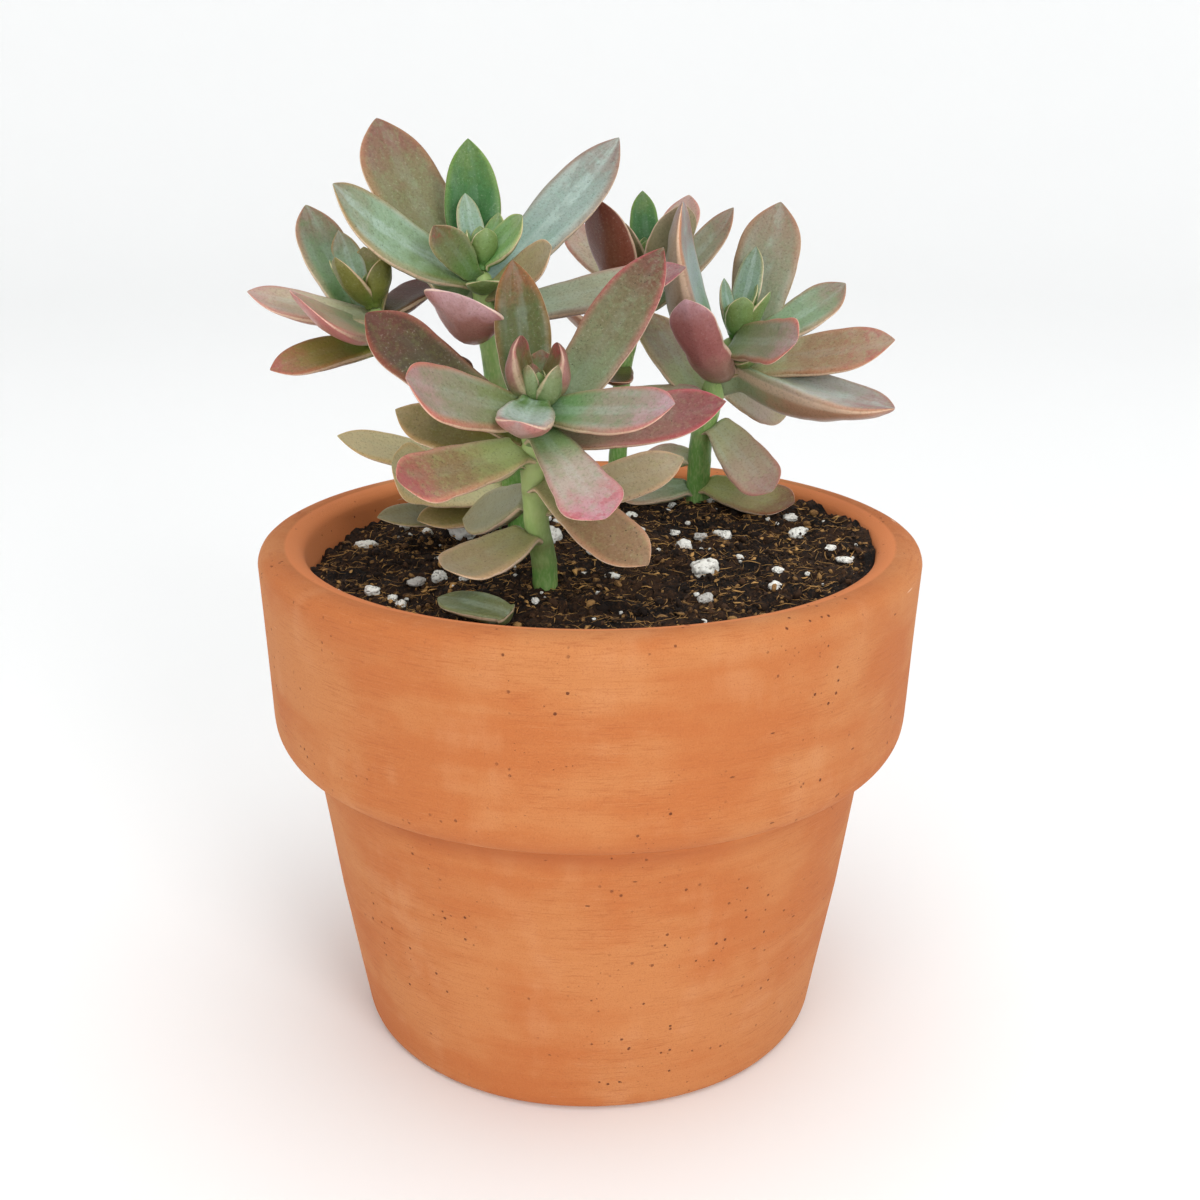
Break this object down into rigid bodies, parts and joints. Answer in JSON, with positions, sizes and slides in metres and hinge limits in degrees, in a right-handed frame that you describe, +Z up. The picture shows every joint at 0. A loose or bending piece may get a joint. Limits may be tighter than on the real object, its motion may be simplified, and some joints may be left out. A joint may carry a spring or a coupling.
{
  "type": "potted succulent",
  "caption": "Leafy succulent with rosettes of fleshy pointed leaves on bare stems, growing in soil in a tapered clay pot with a thick collar rim and a drain hole.",
  "frame": {"origin": "on the pot's axis, at the middle of its base", "axes": "+Z up along the pot's axis, -Y towards the side the plant is seen from, +X to its right"},
  "size_m": [0.11, 0.11, 0.1516],
  "materials": {
    "terracotta": "matte",
    "potting_soil": "matte",
    "stem_green": "satin",
    "crown_green": "satin",
    "leaf_green": "satin",
    "leaf_rose": "satin",
    "leaf_bronze": "satin",
    "leaf_olive": "satin",
    "leaf_pale": "satin"
  },
  "bodies": {
    "root": {"fallen_leaf": "leaf_olive", "front_crown": "crown_green", "front_leaf_01": "leaf_green", "front_leaf_02": "leaf_bronze", "front_leaf_03": "leaf_rose", "front_leaf_04": "leaf_rose", "front_leaf_05": "leaf_rose", "front_leaf_06": "leaf_rose", "front_leaf_07": "leaf_rose", "front_leaf_08": "leaf_rose", "front_leaf_09": "leaf_green", "front_leaf_10": "leaf_bronze", "front_leaf_11": "leaf_olive", "front_leaf_12": "leaf_olive", "front_leaf_13": "leaf_olive", "front_stem": "stem_green", "left_crown": "crown_green", "left_leaf_01": "leaf_green", "left_leaf_02": "leaf_olive", "left_leaf_03": "leaf_bronze", "left_leaf_04": "leaf_rose", "left_leaf_05": "leaf_rose", "left_leaf_06": "leaf_bronze", "left_stem": "stem_green", "low_leaf_01": "leaf_olive", "low_leaf_02": "leaf_olive", "low_leaf_03": "leaf_pale", "low_leaf_04": "leaf_olive", "middle_crown": "crown_green", "middle_leaf_01": "leaf_green", "middle_leaf_02": "leaf_green", "middle_leaf_03": "leaf_green", "middle_leaf_04": "leaf_green", "middle_leaf_05": "leaf_green", "middle_leaf_06": "leaf_bronze", "middle_leaf_07": "leaf_rose", "middle_leaf_08": "leaf_pale", "middle_stem": "stem_green", "potting_soil": "potting_soil", "rear_crown": "crown_green", "rear_leaf_01": "leaf_bronze", "rear_leaf_02": "leaf_pale", "rear_leaf_03": "leaf_green", "rear_leaf_04": "leaf_pale", "rear_leaf_05": "leaf_green", "rear_stem": "stem_green", "right_crown": "crown_green", "right_leaf_01": "leaf_pale", "right_leaf_02": "leaf_bronze", "right_leaf_03": "leaf_green", "right_leaf_04": "leaf_pale", "right_leaf_05": "leaf_rose", "right_leaf_06": "leaf_green", "right_leaf_07": "leaf_rose", "right_leaf_08": "leaf_pale", "right_leaf_09": "leaf_pale", "right_leaf_10": "leaf_pale", "right_leaf_11": "leaf_olive", "right_stem": "stem_green", "terracotta_pot": "terracotta"}
  },
  "joints": []
}
